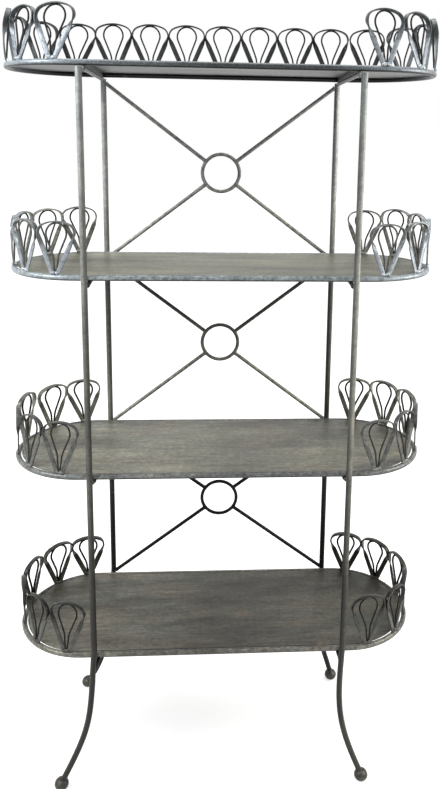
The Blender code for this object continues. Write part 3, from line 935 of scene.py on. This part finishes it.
# How the hand-bent loops stand, where the photo shows one out of true. Each has its number from the front.
# In millimetres: how far its foot sits to the right, its crown leans right and leans back, it stands low,
# and its sides bow outward. In degrees: how far it is turned to face the front.
LOOP_SETS = {
    "shelf_4_gallery_left": {
        1: dict(foot=3, right=11, low=4), 2: dict(right=13, low=5), 3: dict(right=8, low=1, bow=8),
        4: dict(right=6, low=6), 5: dict(foot=-2, right=4, low=6), 6: dict(foot=-4, right=9, back=2, low=3)},
    "shelf_4_gallery_right": {
        1: dict(foot=-19, right=-7), 2: dict(foot=-13, right=-12, turn=8), 3: dict(right=-7, bow=7),
        4: dict(right=-7), 5: dict(foot=13, right=-6), 6: dict(foot=7, right=-6)},
    "shelf_3_gallery_left": {
        1: dict(foot=-3, right=5), 3: dict(right=3, bow=6), 4: dict(right=2), 6: dict(right=-4, low=-2)},
    "shelf_3_gallery_right": {
        1: dict(foot=-7, right=3), 3: dict(right=2), 4: dict(right=-4, low=-4),
        5: dict(foot=3, right=2, low=-7), 6: dict(foot=3, right=3)},
    "shelf_2_gallery_left": {
        1: dict(foot=1, right=4, back=8, low=-4), 2: dict(foot=-2, right=6, back=7, low=-4),
        4: dict(right=1, low=-4), 5: dict(foot=6, right=2), 6: dict(foot=7, right=-4)},
    "shelf_2_gallery_right": {
        1: dict(right=1, back=6, low=-3), 2: dict(right=-1, back=10, low=-6), 4: dict(low=-7),
        5: dict(low=-7), 6: dict(foot=-3, right=6, low=-1)},
    "shelf_1_gallery_left": {
        1: dict(foot=7, right=4, back=10, low=-4), 2: dict(foot=6, right=2, back=5),
        4: dict(right=4, low=-3), 5: dict(foot=10, right=2), 6: dict(foot=8, low=2)},
    "shelf_1_gallery_right": {
        1: dict(right=2, back=10, low=-4), 2: dict(foot=4, back=6), 4: dict(right=2, low=3),
        5: dict(foot=2, right=-2), 6: dict(low=3)},
}

# How much heavier some loops look in the photo: what is added to the strip's width and to its thickness at
# the back, and the factors of the wire in front and behind. The top shelf's loops are alike front and back.
LOOP_WEIGHTS = {
    4: dict(width=0.12, thickness=0.0, wire_front=1.12, wire_rear=1.12),
    3: dict(width=0.10, thickness=0.05, wire_front=1.2, wire_rear=1.2),
    2: dict(width=0.15, thickness=0.20, wire_front=1.1, wire_rear=1.4),
    1: dict(width=0.30, thickness=0.35, wire_front=1.1, wire_rear=1.5),
}
STRIP_WEIGHT = 1.1  # how much thicker every strip is drawn than its setting
STRIP_CORNER = 0.0006
STRIP_TURN_ABOVE = 0.003  # how far above its widest point a strip starts to turn

# How deep a teardrop's head sits in the strip, and its lower end: half the gap where a side meets the
# neck, the neck's bend, and where a side ends between the strip's legs
TEARDROP_WELD = 0.0003
TEARDROP_NECK = 0.0045
TEARDROP_BEND = 0.060
TEARDROP_END = (0.0019, 0.006)

# What the hand varies from loop to loop: the lean over the shelf as a share of its wobble, the height as a
# share of the setting, the length over which a strip turns flat, how far aside a teardrop ends, and where
# the grain starts
HAND_TILT = (0.5, 1.0)
HAND_HEIGHT = (0.991, 0.998)
HAND_TURN_LENGTH = (0.034, 0.042)
HAND_ASIDE = (-0.0015, 0.0015)
HAND_GRAIN = (0, 9)


def loop_set(node, number):
    """How one loop stands: the moves in metres and the turn in radians."""
    place = {key: 0.0 for key in ("foot", "right", "back", "low", "bow", "turn")}
    for key, amount in LOOP_SETS.get(node, {}).get(number, {}).items():
        place[key] = math.radians(amount) if key == "turn" else amount / 1000
    return SimpleNamespace(**place)


def plane_arc(centre, radius, start, end, steps):
    """Points on an arc in a loop's plane, from one turn off its crown to another."""
    turns = [start + (end - start) * k / steps for k in range(steps + 1)]
    return [(centre[0] + radius * math.sin(turn), centre[1] + radius * math.cos(turn)) for turn in turns]


def loop_half(half_width, height, sizes):
    """Half of a loop in its plane, from its crown to its foot, and the height at which it is widest."""
    shoulder = sizes.shoulder_radius
    centre_x = half_width - sizes.strip_thickness / 2 - shoulder
    rise = math.sqrt((sizes.crown_radius - shoulder) ** 2 - centre_x**2)
    crown_centre = height - sizes.strip_thickness / 2 - sizes.crown_radius
    centre = (centre_x, crown_centre + rise)
    meet = math.atan2(centre_x, rise)
    base, lean = sizes.strip_width / 2, 0.0
    for _ in range(4):
        distance = math.hypot(centre_x - base, centre[1])
        lean = math.atan2(centre_x - base, centre[1]) + math.asin(shoulder / distance)
        base = sizes.strip_width / 2 / math.cos(lean)
    places = plane_arc((0, crown_centre), sizes.crown_radius, 0, meet, 12)[:-1]
    places += plane_arc(centre, shoulder, meet, math.pi / 2 + lean, 10)
    low_x, low_h = places[-1]
    for k in range(1, 17):
        places.append((low_x + (base - low_x) * k / 16, low_h * (1 - k / 16)))
    return places, centre[1]


def teardrop_half(height, sizes):
    """Half of a teardrop from its crown to its end between the strip's legs."""
    radius, side = sizes.teardrop_radius, sizes.teardrop_angle
    crown = height - sizes.strip_thickness - sizes.wire_diameter / 2 + TEARDROP_WELD
    places = plane_arc((0, crown - radius), radius, 0, math.pi / 2 + side, 14)
    side_x, side_h = places[-1]
    run = TEARDROP_BEND * math.tan(side / 2)
    start_x = TEARDROP_NECK + run * math.sin(side)
    start_h = side_h - (side_x - TEARDROP_NECK) / math.tan(side) + run * math.cos(side)
    centre = (start_x + TEARDROP_BEND * math.cos(side), start_h - TEARDROP_BEND * math.sin(side))
    places += plane_arc(centre, TEARDROP_BEND, side - math.pi / 2, -math.pi / 2, 8)
    return places + [TEARDROP_END]


def both_halves(half):
    """A whole loop from its half, from the left foot to the right one."""
    return [(-x, h) for x, h in reversed(half)] + half[1:]


def shifted(outward, shift):
    """A move along a rim, to the right in front and behind, at the loop that faces that way."""
    along = UP.cross(outward)
    return along * (shift if along.x > 0 else -shift)


def strip_turns(places, widest, length):
    """The strip stands edge on above its widest point and has turned flat a little below it."""
    turns = []
    for _, h in places:
        share = min(1.0, max(0.0, (widest + STRIP_TURN_ABOVE - h) / length))
        turns.append(math.pi / 2 * share * share * (3 - 2 * share))
    return turns


class RACK_OT_galleries(bpy.types.Operator):
    """Draws every strip loop and its wire teardrop, each a little out of true as hand-set ones are"""

    bl_idname = "rack.galleries"
    bl_label = "Loop Galleries"

    def execute(self, context):
        sizes = context.scene.rack_sizes
        hand = random.Random(11)
        for shelf in SHELVES:
            for node, stands, half_width in loop_stands(shelf, sizes):
                strips, wires = bmesh.new(), bmesh.new()
                for number, stand in enumerate(stands, 1):
                    place = loop_set(node, number)
                    self.add_loop(strips, wires, shelf, stand, half_width, place, sizes, hand)
                add_piece(node.replace("gallery", "loops"), strips, strip_steel(), node)
                add_piece(node.replace("gallery", "teardrops"), wires, wire_steel())
        return {"FINISHED"}

    def add_loop(self, strips, wires, shelf, stand, half_width, place, sizes, hand):
        """One loop in its own plane, which leans in a little over the shelf and is turned about its foot."""
        base, outward = stand
        turn = hand.uniform(-1, 1) * sizes.hand_wobble - math.copysign(place.turn, outward.x)
        facing = Matrix.Rotation(turn, 3, "Z") @ outward
        along = UP.cross(facing)
        base = base + shifted(outward, place.foot)
        tilt = hand.uniform(*HAND_TILT) * sizes.hand_wobble
        height = sizes.loop_height * hand.uniform(*HAND_HEIGHT) - place.low
        lean = (RIGHT * place.right + BACK * place.back) / height
        rise = UP * math.cos(tilt) - facing * math.sin(tilt) + lean
        square = along.cross(rise).normalized()
        weights = LOOP_WEIGHTS[shelf]

        half, widest = loop_half(half_width, height, sizes)
        turns = strip_turns(half, widest, hand.uniform(*HAND_TURN_LENGTH))
        path = []
        for x, h in both_halves(half):
            bow = place.bow * math.sin(math.pi * min(h / height, 1.0))
            path.append(base + along * x + rise * h + facing * bow)
        offset = (hand.uniform(*HAND_GRAIN), hand.uniform(*HAND_GRAIN))
        behind = abs(outward.y) if shelf == TOP_SHELF else max(outward.y, 0.0)
        section = strip_section(sizes.strip_width * (1 + weights["width"] * behind),
                                sizes.strip_thickness * (STRIP_WEIGHT + weights["thickness"] * behind),
                                STRIP_CORNER)
        sweep(strips, path, square, section, turns[:0:-1] + turns, offset=offset)

        aside = hand.uniform(*HAND_ASIDE)
        path = []
        for x, h in both_halves(teardrop_half(height, sizes)):
            path.append(base + along * (x + aside * (1 - h / height)) + rise * h)
        wire = sizes.wire_diameter / 2 * weights["wire_front" if outward.y < 0 else "wire_rear"]
        sweep(wires, path, square, round_section(wire, WIRE_SIDES), offset=(offset[1], offset[0]))


# Weld beads under a loop: their steps along the rim, how far one strays, its height over the rim's top,
# and its half sizes along the rim, outward and up
LOOP_BEAD_STEPS = (-2, -1, 0, 1, 2)
LOOP_BEAD_SPACING = 0.0034
LOOP_BEAD_STRAY = (-0.001, 0.001)
LOOP_BEAD_HEIGHT = (0.0015, 0.0045)
LOOP_BEAD_SIZES = ((0.0038, 0.0052), (0.0044, 0.0056), (0.003, 0.0048))

# Weld beads where a rim meets an upright: how far to each side, how far up or down, and the half sizes
RIM_BEAD_ASIDE = 0.0035
RIM_BEAD_STRAY = (-0.002, 0.002)
RIM_BEAD_SIZE = (0.0022, 0.0018, 0.0045)

# Weld beads at a brace's start and end: the half sizes across it as shares of its radius, and along it
BRACE_BEAD_SIZES = ((1.12, 1.16, 0.0022), (1.1, 1.25, 0.0024))

# How closely a bead's lumps follow one another, and their depth as a share of its half size
BEAD_LUMPS = 1.9
BEAD_LUMP_DEPTH = 0.28


def add_bead(bm, place, axes, size, hand):
    """A lumpy bead of weld metal: three axes and its half size along each."""
    seed = hand.random() * 40
    made = bmesh.ops.create_icosphere(bm, subdivisions=3, radius=1.0)
    for vertex in made["verts"]:
        lump = noise.noise(vertex.co * BEAD_LUMPS + Vector((seed * 3.1, seed * 1.7, 0)))
        local = vertex.co * (1 + BEAD_LUMP_DEPTH * lump)
        vertex.co = place + sum((axis * local[k] * size[k] for k, axis in enumerate(axes)), Vector())


class RACK_OT_welds(bpy.types.Operator):
    """Draws the weld beads where loops, rods and uprights meet"""

    bl_idname = "rack.welds"
    bl_label = "Weld Beads"

    def execute(self, context):
        sizes = context.scene.rack_sizes
        hand = random.Random(5)
        for shelf in SHELVES:
            bm = bmesh.new()
            for node, stands, _ in loop_stands(shelf, sizes):
                for number, (base, outward) in enumerate(stands, 1):
                    foot = base + shifted(outward, loop_set(node, number).foot)
                    self.add_loop_beads(bm, foot, outward, hand)
            if shelf != TOP_SHELF:
                self.add_rim_beads(bm, shelf, sizes, hand)
            smooth(bm)
            add_piece(f"weld_beads_{shelf}", bm, weld_steel())
        bm = bmesh.new()
        for bay in BAYS:
            self.add_brace_beads(bm, bay, sizes, hand)
        smooth(bm)
        add_piece("brace_weld_beads", bm, rod_steel())
        return {"FINISHED"}

    def add_loop_beads(self, bm, foot, outward, hand):
        """A short row of beads where a loop stands on its rim."""
        along = UP.cross(outward)
        for step in LOOP_BEAD_STEPS:
            place = foot + along * (LOOP_BEAD_SPACING * step + hand.uniform(*LOOP_BEAD_STRAY))
            place += UP * hand.uniform(*LOOP_BEAD_HEIGHT)
            size = [hand.uniform(*limits) for limits in LOOP_BEAD_SIZES]
            add_bead(bm, place, (along, outward, UP), size, hand)

    def add_rim_beads(self, bm, shelf, sizes, hand):
        """Two beads between a rim and each upright that it is welded to."""
        height, end_radius, _ = rim_lines(shelf, sizes)
        for name in CORNERS:
            top = upright_top(name, sizes)
            depth = math.copysign(end_radius + sizes.rod_diameter / 2, top.y)
            for side in (-1, 1):
                up = height + hand.uniform(*RIM_BEAD_STRAY)
                place = Vector((top.x + side * RIM_BEAD_ASIDE, depth, up))
                add_bead(bm, place, (RIGHT, BACK, UP), RIM_BEAD_SIZE, hand)

    def add_brace_beads(self, bm, bay, sizes, hand):
        """A bead round each end of the brace rods."""
        radius = sizes.brace_diameter / 2
        for ends in brace_lines(bay, sizes)[1].values():
            run = (ends[1] - ends[0]).normalized()
            axes = (BACK, BACK.cross(run), run)
            for place, (back, across, along) in zip(ends, BRACE_BEAD_SIZES):
                add_bead(bm, place, axes, (radius * back, radius * across, along), hand)


# Where each soft light stands, how far above the rack's middle it points, its width and its colour
LAMPS = {
    "key": dict(place=(-1.7, -0.9, 2.4), aim=0.3, size=1.2, colour=(0.95, 0.98, 1.0)),
    "top": dict(place=(0.2, 0.2, 3.2), aim=0.0, size=1.8, colour=(1.0, 1.0, 1.0)),
    "fill": dict(place=(1.9, -0.4, 1.5), aim=0.0, size=1.2, colour=(1.0, 0.98, 0.94)),
}

# The floor's width and its grey, its own light near the rack and far from it, and the two distances
FLOOR_WIDTH = 40.0
FLOOR_GREY = 0.80
FLOOR_LIGHT = (0.70, 1.0)
FLOOR_REACH = (0.5, 2.5)


class RACK_OT_stage(bpy.types.Operator):
    """Sets the pale floor, the soft lights, the white surroundings and the camera"""

    bl_idname = "rack.stage"
    bl_label = "Stage"

    def execute(self, context):
        settings = context.scene.rack_stage
        self.make_floor()
        self.make_room(context.scene, settings)
        for name, lamp in LAMPS.items():
            self.make_lamp(f"{name}_light", getattr(settings, f"{name}_power"), **lamp)
        self.make_camera(context.scene, settings)
        context.scene.view_settings.view_transform = "Standard"
        return {"FINISHED"}

    def seen(self, nodes):
        """1 for rays from the camera and for mirrored and bent ones, 0 for the rest."""
        path = nodes.add("ShaderNodeLightPath").outputs
        either = nodes.calculate("MAXIMUM", path["Is Camera Ray"], path["Is Glossy Ray"])
        return nodes.calculate("MAXIMUM", either, path["Is Transmission Ray"])

    def make_floor(self):
        """A plain floor that shows white at a distance and keeps the rack's shadow."""
        bpy.ops.mesh.primitive_plane_add(size=FLOOR_WIDTH, location=(0, 0, 0))
        floor = bpy.context.object
        floor.name = "studio_floor"
        material = bpy.data.materials.new("pale studio floor")
        material.use_nodes = True
        nodes = ShaderNodes(material.node_tree)
        shader = material.node_tree.nodes["Principled BSDF"].inputs
        shader["Base Color"].default_value = (*grey(FLOOR_GREY), 1)
        shader["Roughness"].default_value = 0.9
        shader["Specular IOR Level"].default_value = 0.1
        place = nodes.add("ShaderNodeTexCoord").outputs["Object"]
        away = nodes.add("ShaderNodeVectorMath", {0: place}, operation="LENGTH").outputs["Value"]
        level = nodes.times(self.seen(nodes), nodes.spread(away, FLOOR_REACH, FLOOR_LIGHT))
        shader["Emission Color"].default_value = (1, 1, 1, 1)
        material.node_tree.links.new(level, shader["Emission Strength"])
        floor.data.materials.append(material)

    def make_room(self, scene, settings):
        """Surroundings that show white and light the rack softly."""
        world = bpy.data.worlds.new("white room")
        world.use_nodes = True
        nodes = ShaderNodes(world.node_tree)
        level = nodes.spread(self.seen(nodes), (0.0, 1.0), (settings.room_light, 1.0))
        background = world.node_tree.nodes["Background"].inputs
        background["Color"].default_value = (1, 1, 1, 1)
        world.node_tree.links.new(level, background["Strength"])
        scene.world = world

    def make_lamp(self, name, power, place, aim, size, colour):
        light = bpy.data.lights.new(name, "AREA")
        light.shape = "SQUARE"
        light.size = size
        light.energy = power
        light.color = colour
        lamp = bpy.data.objects.new(name, light)
        bpy.context.scene.collection.objects.link(lamp)
        lamp.location = place
        target = middle_of(cad_low, cad_high) + UP * aim
        lamp.rotation_euler = (target - Vector(place)).to_track_quat("-Z", "Y").to_euler()

    def make_camera(self, scene, settings):
        data = bpy.data.cameras.new("camera")
        data.sensor_width = 36.0
        data.lens = settings.camera_lens
        data.shift_x, data.shift_y = settings.shift
        camera = bpy.data.objects.new("camera", data)
        scene.collection.objects.link(camera)
        turn = Matrix.Rotation(-settings.camera_turn, 4, "Z")
        tilt = Matrix.Rotation(math.pi / 2 - settings.camera_tilt, 4, "X")
        roll = Matrix.Rotation(settings.camera_roll, 4, "Z")
        camera.matrix_world = Matrix.Translation(settings.camera_place) @ turn @ tilt @ roll
        scene.camera = camera


STEPS = (RACK_OT_uprights, RACK_OT_shelves, RACK_OT_carriers, RACK_OT_braces, RACK_OT_galleries,
         RACK_OT_welds, RACK_OT_stage)


class RACK_PT_panel(bpy.types.Panel):
    """Lists the rack's sizes, colours and steps in the sidebar"""

    bl_label = "Storage Rack"
    bl_idname = "RACK_PT_panel"
    bl_space_type = "VIEW_3D"
    bl_region_type = "UI"
    bl_category = "Rack"

    def draw(self, context):
        for settings in (context.scene.rack_sizes, context.scene.rack_finish, context.scene.rack_stage):
            box = self.layout.box()
            for name in settings.__annotations__:
                box.prop(settings, name)
        for step in STEPS:
            self.layout.operator(step.bl_idname)


CLASSES = (RackSizes, RackFinish, RackStage, *STEPS, RACK_PT_panel)


def register():
    for cls in CLASSES:
        bpy.utils.register_class(cls)
    bpy.types.Scene.rack_sizes = PointerProperty(type=RackSizes)
    bpy.types.Scene.rack_finish = PointerProperty(type=RackFinish)
    bpy.types.Scene.rack_stage = PointerProperty(type=RackStage)


def unregister():
    for name in ("rack_sizes", "rack_finish", "rack_stage"):
        delattr(bpy.types.Scene, name)
    for cls in reversed(CLASSES):
        bpy.utils.unregister_class(cls)


def main():
    register()
    bpy.ops.rack.uprights()
    bpy.ops.rack.shelves()
    bpy.ops.rack.carriers()
    bpy.ops.rack.braces()
    bpy.ops.rack.galleries()
    bpy.ops.rack.welds()
    bpy.ops.rack.stage()


if __name__ == "__main__":
    main()
